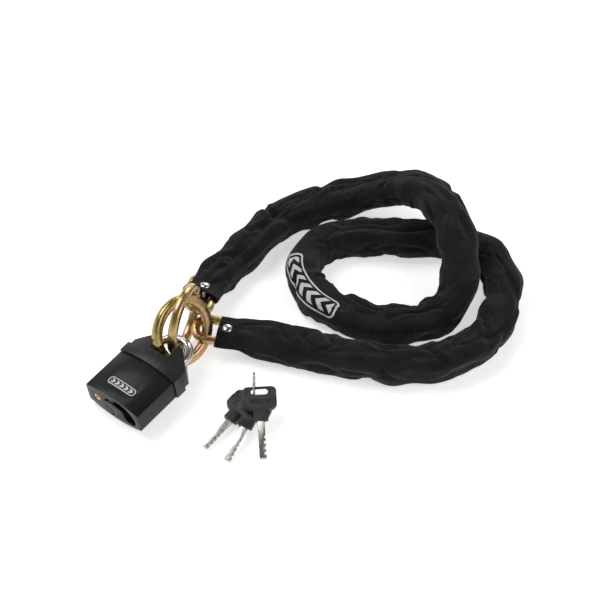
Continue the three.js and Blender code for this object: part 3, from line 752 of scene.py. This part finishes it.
BLACK = black_shell()
GREY = grey_steel()
BRASS = brass()
SLIDER = plastic("dark slider plastic", (0.010, 0.010, 0.010), (0.018, 0.018, 0.018))

refined("body_cover", 0.55, BLACK, "padlock")
refined("head_shroud", 0.5, GREY, "padlock")
refined("lock_body", 0.3, GREY, "padlock")
refined("keyhole_slider", 0.25, SLIDER, "dust_slider")
refined("brass_bush", 0.25, BRASS, "padlock")
refined("shackle", 0.25, CHROME, "shackle", angle=38)
refined("cylinder_housing", 0.15, BRASS, "padlock")
refined("key_plug", 0.15, BRASS, "core")
for node in ("lock_disc_1", "lock_disc_2", "lock_disc_3"):
    dress(NODES[node], BRASS)
for node in ("shackle_spring", "retaining_pin", "sidebar", "locking_cam", "locking_bolt"):
    dress(NODES[node], CHROME)

ACROSS = Vector(JOINTS["bolt_slide"]["axis"]).normalized()
ENDWAYS = Vector(JOINTS["shackle_lift"]["axis"]).normalized()


def make_badge():
    """The badge plate, with its print mapped in millimetres from its middle."""
    plate = refined("face_badge", 0.15, badge(), "padlock", segments=2)
    middle = centre("face_badge")
    mesh = plate.data
    layer = mesh.uv_layers.get("UVMap") or mesh.uv_layers.new(name="UVMap")
    for loop in mesh.loops:
        offset = mesh.vertices[loop.vertex_index].co - middle
        layer.data[loop.index].uv = (offset.dot(ACROSS) / MM, offset.dot(ENDWAYS) / MM)
    mesh.uv_layers.active = layer


make_badge()

# ---------------------------------------------------------------- keys

PLASTIC = plastic("moulded key bow", (0.020, 0.020, 0.021), (0.036, 0.036, 0.038))
KEY_STEEL = key_steel()

for number in (1, 2, 3):
    refined(f"key_bow_{number}", 0.75, PLASTIC, f"key_{number}", segments=4)
    refined(f"key_blade_{number}", 0.18, KEY_STEEL, f"key_{number}", segments=2)


KEY_RING_RADIUS = 11.2
KEY_RING_OFFSET = 0.4
WIRE_HALF_RADIAL = 0.70
WIRE_HALF_AXIAL = 0.38


def make_key_ring():
    """A split ring: two turns of flattened wire lying side by side."""
    middle, (first, second, normal) = principal_frame("key_ring")
    turns, per_turn = 2.0, 96
    count = int(turns * per_turn)
    centres, outs, ups, sections = [], [], [], []
    for index in range(count + 1):
        turn = 2 * math.pi * index / per_turn
        share = index / count
        ramp = min(1.0, max(0.0, (share - 0.47) / 0.06))
        offset = (2 * ramp - 1) * KEY_RING_OFFSET * MM
        out = first * math.cos(turn) + second * math.sin(turn)
        centres.append(middle + out * (KEY_RING_RADIUS * MM) + normal * offset)
        outs.append(out)
        ups.append(normal)
        taper = min(1.0, 0.35 + min(share, 1 - share) * 60)
        sections.append(squircle(WIRE_HALF_RADIAL * MM * taper, WIRE_HALF_AXIAL * MM * taper, 3.0, 14))
    ring = swept("key_ring.fine", centres, outs, ups, sections, closed=False)
    return dress(ring, KEY_STEEL, "key_bunch", ["key_ring"])


make_key_ring()

# ---------------------------------------------------------------- stage and light


def make_stage():
    side, height = 3.0, -0.4 * MM
    corners = [(x * side, y * side, height) for x, y in ((-1, -1), (1, -1), (1, 1), (-1, 1))]
    floor = object_from("floor", corners, [(0, 1, 2, 3)])
    dress(floor, floor_material())


def area_light(name, place, aim, size, power):
    light = bpy.data.lights.new(name, "AREA")
    light.shape = "DISK"
    light.size = size
    light.energy = power
    thing = bpy.data.objects.new(name, light)
    thing.location = place
    thing.rotation_euler = (Vector(aim) - Vector(place)).to_track_quat("-Z", "Y").to_euler()
    bpy.context.collection.objects.link(thing)


def make_light():
    WORLD.view_settings.view_transform = "Standard"
    world = bpy.data.worlds.new("studio")
    world.use_nodes = True
    nodes, links = world.node_tree.nodes, world.node_tree.links
    nodes["Background"].inputs["Strength"].default_value = 0.8
    split = nodes.new("ShaderNodeSeparateXYZ")
    links.new(nodes.new("ShaderNodeTexCoord").outputs["Generated"], split.inputs[0])
    sky = nodes.new("ShaderNodeValToRGB")
    for place, shade in ((0.22, 1.0), (0.5, 0.35)):
        sky.color_ramp.elements.new(place).color = (shade, shade, shade, 1)
    sky.color_ramp.elements[0].color = (1, 1, 1, 1)
    sky.color_ramp.elements[-1].color = (0.12, 0.12, 0.125, 1)
    links.new(split.outputs["Z"], sky.inputs["Fac"])
    links.new(sky.outputs["Color"], nodes["Background"].inputs["Color"])
    WORLD.world = world
    area_light("key light", (-0.9, 0.5, 1.6), (0, 0, 0), 1.3, 17)
    area_light("fill light", (1.2, -0.7, 1.1), (0, 0, 0), 1.2, 8)
    area_light("back light", (0.3, 1.4, 0.8), (0, 0, 0), 0.8, 6)


make_stage()
make_light()
